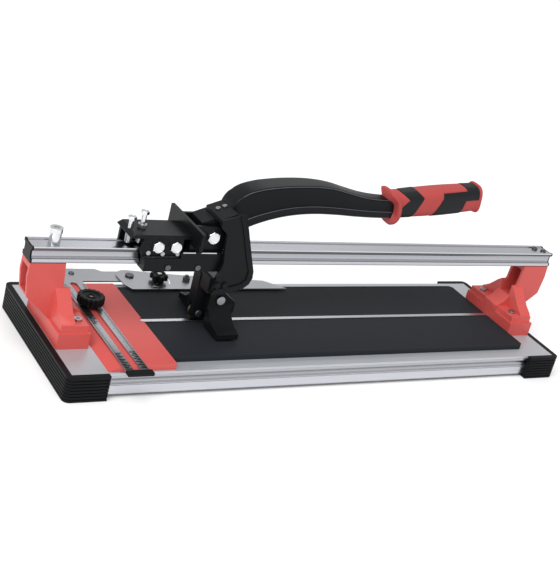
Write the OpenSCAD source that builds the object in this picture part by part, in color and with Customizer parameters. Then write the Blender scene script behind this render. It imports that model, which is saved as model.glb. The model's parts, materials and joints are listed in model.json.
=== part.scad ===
// Manual tile cutter: rail, rolling carriage, scoring lever, breaking foot and side stop.
// X runs along the rail, Y from front to back, Z up from the bench.

/* [Base] */
// Length of the base over both end caps
base_l = 700; // [600:10:840]
// Width of the base, front to back
base_w = 222; // [200:2:270]
// Height of the end caps
base_h = 31; // [27:1:37]
// Wall of an end cap at the end of the base
cap_wall = 7; // [5:0.5:9]
// Wall of an end cap along the front and the back
cap_side = 6.6; // [5:0.2:8]
// Length that an end cap wraps along the front and the back
cap_wrap = 50; // [35:1:65]
// Outer corner radius of an end cap
cap_r = 8; // [6:0.5:10]
// Number of ribs around an end cap
cap_ribs = 8; // [5:1:10]
// Depth of the grooves between the ribs
rib_depth = 1.2; // [0.6:0.1:2]
// Thickness of the ledge that the profiles stand on
cap_ledge = 4; // [3:0.5:5]
// Thickness of the deck sheet
deck_t = 3; // [2:0.5:4]
// Width of the front and rear profiles
profile_w = 16; // [12:1:20]
// Wall of the front and rear profiles
profile_t = 2; // [1.5:0.25:3]
// Thickness of the tile pads
pad_t = 6.25; // [5:0.25:8]
// Front to back size of each tile pad
pad_w = 82; // [70:1:86]
// Distance from the right end of the base to the pads
pad_short = 46; // [46:1:70]
// Width of the breaking strip
strip_w = 6; // [4:0.5:8]
// Height of the breaking strip above the pads
strip_proud = 0.65; // [0.3:0.05:1.5]

/* [Supports and rail] */
// Length of the rail beyond the base, both ends together
rail_over = 49; // [40:1:60]
// Width of the rail
rail_w = 26; // [24:0.5:28]
// Height of the rail section
rail_h = 19.6; // [18:0.2:22]
// Height of the underside of the rail above the bench
rail_z = 117.2; // [112:0.2:130]
// Depth of the grooves in the sides of the rail
groove_d = 3.4; // [2.5:0.1:4]
// Depth of the channel in the top of the rail
channel_d = 1; // [0.6:0.1:1.5]
// Length of a support foot, front to back
foot_l = 100; // [90:1:120]
// Width of a support foot
foot_w = 38; // [34:1:38]
// Height of the lower step of a support foot
foot_h = 19; // [14:1:22]
// Height of the upper step of a support foot
step_h = 8; // [5:1:10]
// Thickness of the buttresses on a support
buttress_t = 17; // [14:0.5:18]
// Diameter of the head of the rail stop bolt
stop_bolt_d = 13.5; // [12:0.5:15]
// Height of the rail stop bolt above the rail
stop_bolt_h = 19; // [14:1:24]

/* [Side stop] */
// Width of the red guide plate across its top
guide_w = 65; // [55:1:70]
// Thickness of the guide plate
guide_t = 8; // [6:0.5:9]
// Distance from the left end of the base to the right edge of the guide plate
guide_in = 131; // [125:1:140]
// Width of the ruler
ruler_w = 28; // [24:1:32]
// Length of the ruler
ruler_l = 252; // [240:1:262]
// Thickness of the ruler, the stop bar and the fence
sheet_t = 1.8; // [1.5:0.1:2.5]
// Width of the slot in the ruler
slot_w = 8.4; // [7:0.1:9]
// Distance from the left edge of the guide plate to the middle of the ruler
ruler_in = 11; // [9:1:14]
// Diameter of the clamp knob
knob_d = 33; // [28:1:40]
// Height of the clamp knob
knob_h = 13.5; // [11:0.5:17]
// Diameter of the clamp studs
stud_d = 6; // [5:0.5:6]
// Length of the fence from its pivot to its tip
fence_l = 211; // [180:1:230]
// Radius of the curved slot in the fence
fence_slot_r = 36; // [34:0.5:38]
// Diameter of the lock knob on the fence
lock_d = 23; // [20:1:25]

/* [Carriage] */
// Distance from the left end of the base to the lever pivot
pivot_in = 184; // [180:1:190]
// Height of the lever pivot above the top of the rail
pivot_up = 20.2; // [19:0.2:23]
// Diameter of the lever pivot bolt
pivot_d = 10; // [8:0.5:11]
// Diameter of the rollers that run on top of the rail
top_roller_d = 16; // [15:0.5:17]
// Diameter of the rollers that run in the side grooves
side_roller_d = 12; // [11:0.5:13]
// Distance between the two top rollers
roller_gap = 22; // [20:0.5:24]
// Wall of the carriage casting
cheek_t = 4; // [3.5:0.25:4.5]
// Clear width between the walls of the carriage
cheek_in = 34; // [33:0.5:36]
// Length of the guide blocks
block_l = 100; // [92:1:106]
// Height of the guide blocks
block_h = 16; // [15:0.5:17]

/* [Lever] */
// Width of the lever at its root
lever_w = 30; // [28:0.5:30]
// Width of the lever where the grip starts
lever_tip_w = 19; // [17:0.5:22]
// Wall of the pressed lever arm
lever_t = 3; // [2.5:0.25:3.5]
// Length of the grip
grip_l = 134; // [120:1:150]
// Height of the grip
grip_h = 38; // [34:1:42]
// Width of the grip
grip_w = 32; // [30:1:36]
// Diameter of the scoring wheel
wheel_d = 22; // [20:0.5:22]
// Thickness of the scoring wheel
wheel_t = 3; // [2:0.25:3.5]
// Diameter of the pin that carries the breaking foot
pin_d = 8; // [6:0.5:8]
// Distance across the breaking foot, front to back
foot_span = 108; // [98:1:120]
// Thickness of the breaker bracket
bracket_t = 5; // [4:0.25:5]

/* [Fits] */
// Radial clearance of everything that turns on a pin
run_gap = 0.05; // [0.03:0.01:0.08]
// Radial clearance of screws in their holes
screw_gap = 0.1; // [0.05:0.05:0.2]
// Gap between sliding and turning faces
slide_gap = 0.3; // [0.2:0.05:0.4]

/* [Hidden] */
$fn = 64;
tiny = 0.01;
// base
deck_l = base_l - 2 * cap_wall;
deck_w = base_w - 2 * cap_side - 0.6;
deck_top = base_h - 0.5;
deck_low = deck_top - deck_t;
pad_top = deck_top + pad_t;
strip_top = pad_top + strip_proud;
pad_in = strip_w / 2 + 0.6;
guide_x = -base_l / 2 + guide_in;
pad_left = guide_x + 0.4;
pad_end = base_l / 2 - pad_short;
rib_pitch = base_h / cap_ribs;
groove_h = rib_pitch * 0.34;
edge_groove_r = 5.2;
edge_groove_d = 1.6;
edge_groove_z = cap_ledge + (deck_low - cap_ledge) * 0.69;
edge_line_z = cap_ledge + (deck_low - cap_ledge) * 0.47;
// rail
rail_l = base_l + rail_over;
rail_top = rail_z + rail_h;
rail_half = rail_w / 2;
plug_t = 2;
plug_in = 5;
hollow_w = 12;
hollow_h = 11;
hollow_z = rail_z + 3.4;
lip_w = 4.4;
run_floor = rail_top - channel_d;
groove_z = rail_z + rail_h * 0.53;
waist_y = rail_half - groove_d;
// supports
foot_out = base_l / 2 - cap_wall - 0.5;
foot_in = foot_out - foot_w;
foot_mid = (foot_out + foot_in) / 2;
foot_top = deck_top + foot_h + step_h;
post_out = rail_l / 2 - 1;
post_in = post_out - 41;
screw_y = foot_l * 0.33;
stop_bolt_x = -(rail_l / 2 - 29);
rail_screw_x = rail_l / 2 - 15;
rail_screw_pitch = 9;
// side stop
guide_left = guide_x - guide_w;
guide_top = deck_top + guide_t;
guide_front = -(deck_w / 2 - 3);
guide_back = base_w / 2 - 18;
bar_z = guide_top - sheet_t;
bar_front = base_w / 2 - 13;
bar_back = base_w / 2 + 20;
ruler_x = guide_left + ruler_in;
ruler_back = base_w / 2 + 17;
ruler_front = ruler_back - ruler_l;
clamp_y = 33.3;
slot_front = ruler_front + 10;
slot_back = guide_back - 6;
fence_z = guide_top;
fence_px = ruler_x + 81.4;
fence_py = base_w / 2 - 3.3;
lock_a = -22;
lock_x = fence_px + fence_slot_r * cos(lock_a);
lock_y = fence_py + fence_slot_r * sin(lock_a);
fence_swing = 30;
fence_front = fence_py - 34.7;
// carriage
pivot_x = -base_l / 2 + pivot_in;
pivot_z = rail_top + pivot_up;
cheek_y = cheek_in / 2;
cheek_out = cheek_y + cheek_t;
block_top = rail_z + 13.3;
block_low = block_top - block_h;
block_left = pivot_x - 80;
block_y = rail_half + 1;
block_out = cheek_out + 5;
bridge_low = run_floor + top_roller_d + 0.6;
bridge_t = 4.6;
bridge_top = bridge_low + bridge_t;
bridge_left = pivot_x - 100;
fork_left = pivot_x - 21;
wing_low = bridge_low - 6;
fork_right = pivot_x + 14;
fork_top = pivot_z + 12;
wing_y = 44;
top_roller_z = run_floor + top_roller_d / 2;
top_roller_x = [pivot_x - 66, pivot_x - 66 + roller_gap];
top_roller_w = 6;
side_roller_x = [pivot_x - 68, pivot_x + 8];
side_roller_y = waist_y + side_roller_d / 2;
side_roller_w = 5;
adjust_x = [pivot_x - 93, pivot_x - 79];
adjust_head_z = [bridge_top + 9.5, bridge_top + 16.5];
bearing_pin_d = 6;
// lever
breaker_x = pivot_x + 32;
breaker_z = pivot_z - 83;
wheel_x = pivot_x + 14;
wheel_z = strip_top + 1.6 + wheel_d / 2;
holder_top = pivot_z - 49;
holder_right = pivot_x + 30;
holder_y = cheek_out + 8;
bracket_y = -holder_y;
shoe_low = pad_top + 2.25;
shoe_t = 3;
lug_w = 16;
grip_x = pivot_x + 251;
grip_z = pivot_z + 39.9;
grip_tilt = 6.3;

// ---- general shapes ----

// Rectangle with round corners, centred
module round_rect(l, w, r) {
    square([l - 2 * r, w], center = true);
    square([l, w - 2 * r], center = true);
    for (sx = [-1, 1], sy = [-1, 1])
        translate([sx * (l / 2 - r), sy * (w / 2 - r)]) circle(r = r);
}

// Block from one corner to the opposite one
module block(a, b) translate(a) cube(b - a);

// Cylinder along Y from y0 to y1 at the place (x, z)
module rod_y(x, z, y0, y1, d) {
    translate([x, y1, z]) rotate([90, 0, 0]) cylinder(d = d, h = y1 - y0);
}

// Hexagon prism along Y from y0 to y1
module hex_y(x, z, y0, y1, across) {
    translate([x, y1, z]) rotate([90, 0, 0]) cylinder(d = across / cos(30), h = y1 - y0, $fn = 6);
}

// Upright cylinder from z0 to z1 at the place (x, y)
module rod_z(x, y, z0, z1, d) translate([x, y, z0]) cylinder(d = d, h = z1 - z0);

// Upright hexagon prism
module hex_z(x, y, z0, z1, across) {
    translate([x, y, z0]) cylinder(d = across / cos(30), h = z1 - z0, $fn = 6);
}

// Outline in the XZ plane, given a thickness from y0 to y1
module plate_y(y0, y1) translate([0, y1, 0]) rotate([90, 0, 0]) linear_extrude(y1 - y0) children();

// Point on a cubic curve with end points a and d and handles b and c
function curve(a, b, c, d, t) =
    a * pow(1 - t, 3) + b * 3 * t * pow(1 - t, 2) + c * 3 * t * t * (1 - t) + d * pow(t, 3);
function curve_points(a, b, c, d, n) = [for (i = [0:n]) curve(a, b, c, d, i / n)];

// ---- base ----

module deck_plate() color("lightgray") difference() {
    block([-deck_l / 2, -deck_w / 2, deck_low], [deck_l / 2, deck_w / 2, deck_top]);
    rod_z(ruler_x, clamp_y, 0, base_h, stud_d + 2 * screw_gap);
    for (p = guide_screw_places) rod_z(p[0], p[1], 0, base_h, 4 + 2 * screw_gap);
    for (sx = [-1, 1], sy = [-1, 1])
        rod_z(sx * foot_screw_x, sy * screw_y, 0, base_h, 5 + 2 * screw_gap);
}

// Hollow edge profile with a hollow groove and a fine line along its outer face
module edge_profile() color("silver") difference() {
    block([-deck_l / 2, 0, cap_ledge], [deck_l / 2, profile_w, deck_low]);
    block([-deck_l, profile_t + edge_groove_d, cap_ledge + profile_t],
        [deck_l, profile_w - profile_t, deck_low - profile_t]);
    translate([-deck_l, edge_groove_d - edge_groove_r, edge_groove_z]) rotate([0, 90, 0])
        cylinder(r = edge_groove_r, h = 2 * deck_l);
    block([-deck_l, -1, edge_line_z], [deck_l, 0.7, edge_line_z + 0.8]);
}
module front_profile() translate([0, -deck_w / 2, 0]) edge_profile();
module rear_profile() mirror([0, 1, 0]) front_profile();

// Cap outline: a U that is open towards the middle of the base, for the right-hand end
module cap_outline(inset) {
    long = base_w - 2 * inset;
    x1 = base_l / 2 - inset;
    x0 = base_l / 2 - cap_wrap;
    r = cap_r - inset;
    difference() {
        union() {
            translate([(x0 + x1 - r) / 2, 0]) square([x1 - r - x0, long], center = true);
            translate([x1 - r / 2, 0]) square([r, long - 2 * r], center = true);
            for (s = [-1, 1]) translate([x1 - r, s * (long / 2 - r)]) circle(r = r);
        }
        translate([x0 - 1, -deck_w / 2 - 0.1])
            square([base_l / 2 - cap_wall + 0.1 - x0 + 1, deck_w + 0.2]);
    }
}

module end_cap_right() color([0.09, 0.1, 0.11]) {
    linear_extrude(base_h) cap_outline(rib_depth);
    for (i = [0:cap_ribs - 1])
        translate([0, 0, i * rib_pitch]) linear_extrude(rib_pitch - groove_h) cap_outline(0);
    translate([0, 0, base_h - groove_h]) linear_extrude(groove_h) cap_outline(0);
    for (s = [-1, 1]) translate([0, s * (deck_w - profile_w) / 2, cap_ledge / 2])
        translate([base_l / 2 - cap_wrap, -profile_w / 2 - 0.2, -cap_ledge / 2])
            cube([cap_wrap - cap_wall + 0.2, profile_w + 0.4, cap_ledge]);
}
module end_cap_left() mirror([1, 0, 0]) end_cap_right();

// Tile pad behind the strip, with its two outer corners cut
module rear_pad() color([0.13, 0.14, 0.15]) translate([0, 0, deck_top]) linear_extrude(pad_t)
    polygon([[pad_left, pad_in], [pad_end - 2, pad_in], [pad_end, pad_in + 2],
        [pad_end, pad_in + pad_w - 5], [pad_end - 5, pad_in + pad_w], [pad_left, pad_in + pad_w]]);
module front_pad() mirror([0, 1, 0]) rear_pad();

module breaking_strip() color("gainsboro")
    block([guide_x - 2.5, -strip_w / 2, deck_top], [foot_in - 0.5, strip_w / 2, strip_top]);

// ---- supports and rail ----

foot_screw_x = foot_mid - 8;

// Rib from the foot to the column at the place x, low at its tip and high at the column
module rib(x, t, s, low, high) translate([x, 0, 0]) rotate([90, 0, 90]) linear_extrude(t)
    polygon([[s * (rail_half - 3), foot_top - 1], [s * (foot_l / 2 - 4), foot_top - 1],
        [s * (foot_l / 2 - 7), foot_top + low], [s * (foot_l / 2 - 18), foot_top + low + (high - low) * 0.28],
        [s * (rail_half + 6), foot_top + low + (high - low) * 0.78], [s * (rail_half - 1), foot_top + high],
        [s * (rail_half - 3), foot_top + high]]);

// Cast support for the right-hand end; the column is an I section, with a thick buttress
// on its outer side and the screw beside it
module support_casting() color([0.82, 0.3, 0.28]) difference() {
    union() {
        block([foot_in, -foot_l / 2, deck_top], [foot_out, foot_l / 2, deck_top + foot_h]);
        block([foot_in + 2, -foot_l / 2 + 3, deck_top + foot_h - tiny],
            [foot_out - 3, foot_l / 2 - 3, foot_top]);
        plate_y(-rail_half, rail_half) polygon([[post_in, rail_z], [post_out, rail_z],
            [post_out + 1, rail_z - 17], [post_out - 2, rail_z - 41], [foot_out + 12, rail_z - 56],
            [foot_out, foot_top - 8], [foot_in, foot_top - 8], [foot_in, foot_top],
            [foot_in + 10, foot_top + 5], [foot_in + 18, foot_top + 15], [post_in - 2, rail_z - 27]]);
        for (s = [-1, 1]) rib(foot_out - 3 - buttress_t, buttress_t, s, 3, 30);
    }
    // recesses in the column, one from each side, that leave a web between them
    block([post_in - 20, -rail_half + 4, rail_z - 45], [post_in + 14, rail_half - 4, rail_z - 7]);
    block([post_in + 19, -rail_half + 4, rail_z - 38], [post_out + 20, rail_half - 4, rail_z - 7]);
    for (s = [-1, 1]) rod_z(foot_screw_x, s * screw_y, 0, rail_z, 5 + 2 * screw_gap);
}
module support_left() mirror([1, 0, 0]) difference() {
    support_casting();
    rod_z(-stop_bolt_x, 0, rail_z - 6, rail_z + 1, 8 + 2 * screw_gap);
}

module support_right() difference() {
    support_casting();
    for (s = [-1, 1]) rod_z(rail_screw_x + s * rail_screw_pitch / 2, -s * 4,
        rail_z - 6, rail_z + 1, 4 + 2 * screw_gap);
}

// Pan-head screw with its head on the plane z
module pan_screw(x, y, z, d, l) {
    rod_z(x, y, z - l, z + tiny, d);
    difference() {
        rod_z(x, y, z, z + d * 0.55, d * 1.9);
        translate([x, y, z + d * 0.3]) for (a = [0, 90]) rotate([0, 0, a])
            translate([0, 0, d]) cube([d * 1.1, d * 0.22, 2 * d], center = true);
    }
}

module support_screws() color("lightgray") for (sx = [-1, 1], sy = [-1, 1])
    pan_screw(sx * foot_screw_x, sy * screw_y, foot_top, 5, foot_top - deck_low);

// Rail section: flat flanges, curved grooves in both sides and a channel along the top
module rail_outline() difference() {
    translate([-rail_half, 0]) square([rail_w, rail_h]);
    translate([-rail_half + lip_w, rail_h - channel_d]) square([rail_w - 2 * lip_w, channel_d + 1]);
    for (s = [-1, 1]) translate([s * (waist_y + 12), groove_z - rail_z]) {
        intersection() {
            circle(r = 12, $fn = 96);
            square([24, 10.6], center = true);
        }
        square([24, side_roller_w + 1], center = true);
    }
    translate([-hollow_w / 2, hollow_z - rail_z]) square([hollow_w, hollow_h]);
    for (s = [-1, 1]) translate([s * rail_half, 0]) rotate(45) square(1.6, center = true);
}

module rail() color("silver") difference() {
    translate([-rail_l / 2 + plug_t, 0, rail_z]) rotate([90, 0, 90])
        linear_extrude(rail_l - 2 * plug_t) rail_outline();
    rod_z(stop_bolt_x, 0, rail_z - 1, rail_top + 1, 8 + 2 * screw_gap);
    for (s = [-1, 1]) rod_z(rail_screw_x + s * rail_screw_pitch / 2, -s * 4,
        rail_z - 1, rail_top + 1, 4 + 2 * screw_gap);
}

module rail_plug() {
    translate([rail_l / 2 - plug_t, 0, rail_z]) rotate([90, 0, 90]) linear_extrude(plug_t) union() {
        rail_outline();
        translate([-hollow_w / 2, hollow_z - rail_z]) square([hollow_w, hollow_h]);
    }
    block([rail_l / 2 - plug_t - plug_in, -hollow_w / 2 + 0.1, hollow_z + 0.1],
        [rail_l / 2 - plug_t + tiny, hollow_w / 2 - 0.1, hollow_z + hollow_h - 0.1]);
}
module rail_plugs() color([0.12, 0.12, 0.13]) {
    rail_plug();
    mirror([1, 0, 0]) rail_plug();
}

// Tall screw with a plain collar; it holds the rail down and stops the carriage
module rail_stop_bolt() color("gainsboro") difference() {
    union() {
        rod_z(stop_bolt_x, 0, rail_z - 5, rail_top, 8);
        rod_z(stop_bolt_x, 0, run_floor, run_floor + stop_bolt_h - 6, stop_bolt_d);
        rod_z(stop_bolt_x, 0, run_floor + stop_bolt_h - 6, run_floor + stop_bolt_h, stop_bolt_d + 1.5);
    }
    hex_z(stop_bolt_x, 0, run_floor + stop_bolt_h - 4, run_floor + stop_bolt_h + 1, 6);
}

module rail_screws() color("dimgray") for (s = [-1, 1])
    pan_screw(rail_screw_x + s * rail_screw_pitch / 2, -s * 4, run_floor, 4, run_floor - rail_z + 5);

// ---- side stop ----

guide_screw_places = [for (x = [guide_left + 30, guide_x - 10], y = [guide_front + 21, guide_back - 14])
    [x, y]];

module guide_plate() color([0.84, 0.31, 0.29]) difference() {
    translate([0, guide_back, 0]) rotate([90, 0, 0]) linear_extrude(guide_back - guide_front)
        polygon([[guide_left - 16, deck_top], [guide_left, guide_top], [guide_x, guide_top],
            [guide_x, deck_top]]);
    block([guide_x - 3, -strip_w / 2 - 0.5, 0], [guide_x + 1, strip_w / 2 + 0.5, 99]);
    block([guide_left - 30, guide_back - 9, guide_top - 0.8], [guide_x + 1, guide_back + 1, 99]);
    rod_z(ruler_x, clamp_y, 0, 99, stud_d + 2 * screw_gap);
    for (p = guide_screw_places) rod_z(p[0], p[1], 0, guide_top - 2, 4);
}

module guide_screws() color("dimgray") for (p = guide_screw_places) {
    rod_z(p[0], p[1], deck_low - tiny, guide_top - 2.5, 3.9);
    rod_z(p[0], p[1], deck_low - 2.2, deck_low, 8);
}

module clamp_stud() color("silver") {
    rod_z(ruler_x, clamp_y, deck_low - tiny, guide_top + sheet_t + knob_h - 2, stud_d);
    hex_z(ruler_x, clamp_y, deck_low - 4, deck_low, 10);
}

// Slotted ruler; its tail lies on the stop bar
module stop_ruler() color([0.75, 0.76, 0.78]) translate([0, 0, guide_top]) linear_extrude(sheet_t)
difference() {
    translate([ruler_x - ruler_w / 2, ruler_front]) square([ruler_w, ruler_l]);
    translate([ruler_x - slot_w / 2, slot_front]) square([slot_w, slot_back - slot_front]);
    for (y = [slot_front, slot_back]) translate([ruler_x, y]) circle(d = slot_w);
    for (p = rivet_places) translate(p) circle(d = 4);
}

rivet_places = [for (s = [-1, 1]) [ruler_x + s * 7, (bar_front + ruler_back) / 2 + 2]];

module stop_bar() color([0.78, 0.79, 0.81]) translate([0, 0, bar_z]) linear_extrude(sheet_t)
difference() {
    union() {
        polygon([[ruler_x - ruler_w / 2, bar_front], [fence_px - 4, bar_front],
            [fence_px - 4, bar_back - 7], [fence_px - 30, bar_back - 7], [fence_px - 38, bar_back],
            [ruler_x - ruler_w / 2, bar_back]]);
        translate([fence_px, fence_py]) circle(d = 26);
        translate([lock_x, lock_y + 4]) circle(d = 16);
        polygon([[fence_px - 4, bar_front], [lock_x, lock_y - 3.5], [lock_x, lock_y + 12],
            [fence_px, fence_py + 13]]);
    }
    translate([fence_px, fence_py]) circle(d = 6);
    translate([lock_x, lock_y]) circle(d = stud_d + 2 * screw_gap);
    for (p = rivet_places) translate(p) circle(d = 4);
}

// Moulded clip over the front end of the ruler
module ruler_tip() color([0.1, 0.1, 0.11]) difference() {
    block([ruler_x - ruler_w / 2 - 1.5, ruler_front - 2, guide_top],
        [ruler_x + ruler_w / 2 + 1.5, ruler_front + 7, guide_top + sheet_t + 2]);
    block([ruler_x - ruler_w / 2, ruler_front, guide_top - 1],
        [ruler_x + ruler_w / 2, ruler_front + 20, guide_top + sheet_t]);
}

module bar_rivets() color("gray") for (p = rivet_places) {
    rod_z(p[0], p[1], bar_z - 0.8, guide_top + sheet_t + 0.8, 4);
    rod_z(p[0], p[1], bar_z - 1, bar_z, 7);
    rod_z(p[0], p[1], guide_top + sheet_t, guide_top + sheet_t + 1.4, 7);
}

module fence_pivot() color("dimgray") {
    rod_z(fence_px, fence_py, bar_z - 1, fence_z + sheet_t + slide_gap + 1, 6);
    rod_z(fence_px, fence_py, bar_z - 1.6, bar_z, 11);
    rod_z(fence_px, fence_py, fence_z + sheet_t + slide_gap, fence_z + sheet_t + slide_gap + 2, 11);
}

module fence_stud() color("silver") {
    rod_z(lock_x, lock_y, bar_z - tiny, fence_z + sheet_t + 11, stud_d);
    rod_z(lock_x, lock_y, bar_z - 2, bar_z, stud_d + 2);
}

// Knob on a stud: fluted rim, shallow dish and a boss below
module fluted_knob(d, h, flutes) {
    difference() {
        union() {
            cylinder(d = d * 0.62, h = h * 0.3);
            translate([0, 0, h * 0.25]) cylinder(d = d, h = h * 0.75);
        }
        for (i = [0:flutes - 1]) rotate([0, 0, i * 360 / flutes]) translate([d / 2 + d * 0.035, 0, -1])
            cylinder(d = d * 0.13, h = h + 2, $fn = 24);
        translate([0, 0, h - 1.6]) cylinder(d = d * 0.66, h = 3);
        translate([0, 0, -1]) cylinder(d = stud_d + 2 * run_gap, h = h + 2);
    }
}

module clamp_knob() color([0.1, 0.1, 0.11])
    translate([ruler_x, clamp_y, guide_top + sheet_t + slide_gap]) fluted_knob(knob_d, knob_h, 16);
module fence_knob() color([0.1, 0.1, 0.11])
    translate([lock_x, lock_y, fence_z + sheet_t + slide_gap]) fluted_knob(lock_d, 10, 6);

// Points on an arc about a centre, from angle a0 to a1
function arc(centre, r, a0, a1, n) =
    [for (i = [0:n]) let (a = a0 + (a1 - a0) * i / n) centre + r * [cos(a), sin(a)]];

// Curved slot about the fence pivot, from angle a0 to a1, with round ends
module arc_slot(r, w, a0, a1) polygon(concat(
    arc([0, 0], r + w / 2, a0, a1, 16),
    arc(r * [cos(a1), sin(a1)], w / 2, a1 + 15, a1 + 165, 8),
    arc([0, 0], r - w / 2, a1, a0, 16),
    arc(r * [cos(a0), sin(a0)], w / 2, a0 + 195, a0 + 345, 8)));

module swivel_fence() color([0.8, 0.81, 0.83]) translate([fence_px, fence_py, fence_z])
linear_extrude(sheet_t) difference() {
    depth = fence_py - fence_front;
    union() {
        circle(d = 34);
        polygon([[-16, -22], [-10, -depth], [fence_l, -depth], [fence_l - 25, -depth + 22],
            [60, 5], [0, 17], [-17, 0]]);
    }
    circle(d = 6 + 2 * run_gap);
    arc_slot(fence_slot_r, stud_d + 1, lock_a - fence_swing, lock_a);
    arc_slot(fence_slot_r + 15, 2, -24, 0);
}

module fence_screw() color("dimgray") {
    hex_z(fence_px + 74, fence_py - 11, fence_z + sheet_t, fence_z + sheet_t + 4.5, 9);
    rod_z(fence_px + 74, fence_py - 11, fence_z + sheet_t + 4, fence_z + sheet_t + 7, 5);
}

// ---- carriage ----

// Casting: two fork cheeks, a cross plate, a rear wall and a bridge over the top rollers
module carriage_body() color([0.12, 0.12, 0.13]) difference() {
    union() {
        for (s = [-1, 1]) plate_y(min(s * cheek_y, s * cheek_out), max(s * cheek_y, s * cheek_out))
            polygon([[fork_left, block_top], [fork_right, block_top], [fork_right, pivot_z + 4],
                [fork_right - 8, fork_top], [fork_left, fork_top]]);
        block([fork_left - 4, -wing_y, wing_low], [fork_left, wing_y, fork_top]);
        block([fork_left - 4, -cheek_out, rail_top + 2], [fork_left, cheek_out, fork_top - 1]);
        block([bridge_left + 4, cheek_y, block_top], [fork_left, cheek_out, bridge_low + 1]);
        plate_y(-cheek_out, cheek_out) polygon([[bridge_left + 6, bridge_top], [fork_left, bridge_top],
            [fork_left, bridge_low], [bridge_left, bridge_low], [bridge_left, bridge_low + 1]]);
    }
    rod_y(pivot_x, pivot_z, -50, 50, pivot_d + 2 * screw_gap);
    for (x = top_roller_x) rod_y(x, top_roller_z, 0, 50, bearing_pin_d + 2 * screw_gap);
    for (x = adjust_x) rod_z(x, 0, bridge_low - 1, bridge_top + 1, 6 + 2 * screw_gap);
}

module carriage_front_plate() color([0.25, 0.26, 0.28]) difference() {
    plate_y(-cheek_out, -cheek_y) polygon([[pivot_x - 86, block_top + 8],
        [pivot_x - 82, bridge_low], [plate_right, bridge_low], [plate_right, block_top],
        [pivot_x - 82, block_top]]);
    for (x = top_roller_x) rod_y(x, top_roller_z, -50, 0, bearing_pin_d + 2 * screw_gap);
    for (p = plate_screw_places) rod_y(p[0], p[1], -50, 0, 3 + 2 * screw_gap);
}

plate_right = pivot_x - 34;
plate_screw_places = [[pivot_x - 76, block_top + 5], [pivot_x - 58, block_top + 4],
    [pivot_x - 39, block_top + 4]];

module plate_screws() color("silver") for (p = plate_screw_places) {
    rod_y(p[0], p[1], -cheek_out - tiny, -cheek_y + 1, 3);
    rod_y(p[0], p[1], -cheek_out - 1.8, -cheek_out, 5.5);
}

// Bar beside the rail that hooks under it and carries two side rollers; front one
module guide_block_front() color([0.1, 0.1, 0.11]) difference() {
    union() {
        block([block_left, -block_out, block_low], [block_left + block_l, -block_y, block_top]);
        block([block_left, -block_out, block_low], [block_left + block_l, -rail_half + 5, rail_z - 0.5]);
        block([plate_right - 1.8, -block_out, block_top - tiny],
            [block_left + block_l, -cheek_out, block_top + 8]);
    }
    for (x = side_roller_x) {
        rod_z(x, -side_roller_y, roller_low - 0.4, block_top + 1, side_roller_d + 1);
        rod_z(x, -side_roller_y, 0, rail_top, 5 + 2 * screw_gap);
    }
    for (x = block_screw_x) rod_y(x, block_mid, -block_out - 1, -block_y + 1, 4 + 2 * screw_gap);
}
module guide_block_rear() mirror([0, 1, 0]) guide_block_front();

roller_low = groove_z - side_roller_w / 2;
block_mid = block_low + 5;
block_screw_x = [block_left + 30, block_left + 68];

module block_screws() color("dimgray") for (x = block_screw_x, s = [0, 1]) mirror([0, s, 0]) {
    rod_y(x, block_mid, -block_out - tiny, -block_y - 1, 4);
    rod_y(x, block_mid, -block_out - 1.5, -block_out, 7);
}

module adjusting_bolts() color("gainsboro") for (i = [0, 1]) {
    rod_z(adjust_x[i], 0, rail_top + 1.2, adjust_head_z[i] + tiny, 6);
    hex_z(adjust_x[i], 0, adjust_head_z[i], adjust_head_z[i] + 4, 9);
}

module adjusting_bushes() color("silver") {
    for (x = adjust_x) ring_z(x, 0, rail_top + 2.5, bridge_low, 8, 6 + 2 * screw_gap);
    difference() {
        hex_z(adjust_x[1], 0, bridge_top, bridge_top + 4.5, 10);
        rod_z(adjust_x[1], 0, 0, 999, 6 + 2 * screw_gap);
    }
}

// Upright tube
module ring_z(x, y, z0, z1, outer, bore) difference() {
    rod_z(x, y, z0, z1, outer);
    rod_z(x, y, z0 - 1, z1 + 1, bore);
}

// Tube along Y
module ring_y(x, z, y0, y1, outer, bore) difference() {
    rod_y(x, z, y0, y1, outer);
    rod_y(x, z, y0 - 1, y1 + 1, bore);
}

// Bolts through both walls, with a shoulder on each side of the roller
module bearing_bolts() color("gainsboro") for (x = top_roller_x) {
    hex_y(x, top_roller_z, -cheek_out - 5.3, -cheek_out, 13);
    rod_y(x, top_roller_z, -cheek_out - tiny, cheek_out + 6, bearing_pin_d);
    for (s = [-1, 1]) rod_y(x, top_roller_z, s > 0 ? top_roller_w / 2 + slide_gap : -cheek_y,
        s > 0 ? cheek_y : -top_roller_w / 2 - slide_gap, 10);
}

module bearing_nuts() color("silver") for (x = top_roller_x) difference() {
    hex_y(x, top_roller_z, cheek_out, cheek_out + 5, 10);
    rod_y(x, top_roller_z, 0, 99, bearing_pin_d + 2 * screw_gap);
}

// Headed pins that the side rollers turn on
module roller_pins() color("silver") for (x = side_roller_x, s = [-1, 1]) {
    rod_z(x, s * side_roller_y, block_low - tiny, roller_low + side_roller_w, 5);
    rod_z(x, s * side_roller_y, block_low - 2.5, block_low, 8);
}

module pivot_bolt() color("gainsboro") {
    hex_y(pivot_x, pivot_z, -cheek_out - 6.5, -cheek_out, 14);
    rod_y(pivot_x, pivot_z, -cheek_out - tiny, cheek_out + 9, pivot_d);
}

module pivot_nut() color("silver") difference() {
    hex_y(pivot_x, pivot_z, cheek_out, cheek_out + 8, 16);
    rod_y(pivot_x, pivot_z, 0, 99, pivot_d + 2 * screw_gap);
}

module pivot_washers() color("silver") for (s = [0, 1]) mirror([0, s, 0])
    ring_y(pivot_x, pivot_z, lever_w / 2 + slide_gap, cheek_y, 18, pivot_d + 2 * screw_gap);

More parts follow.
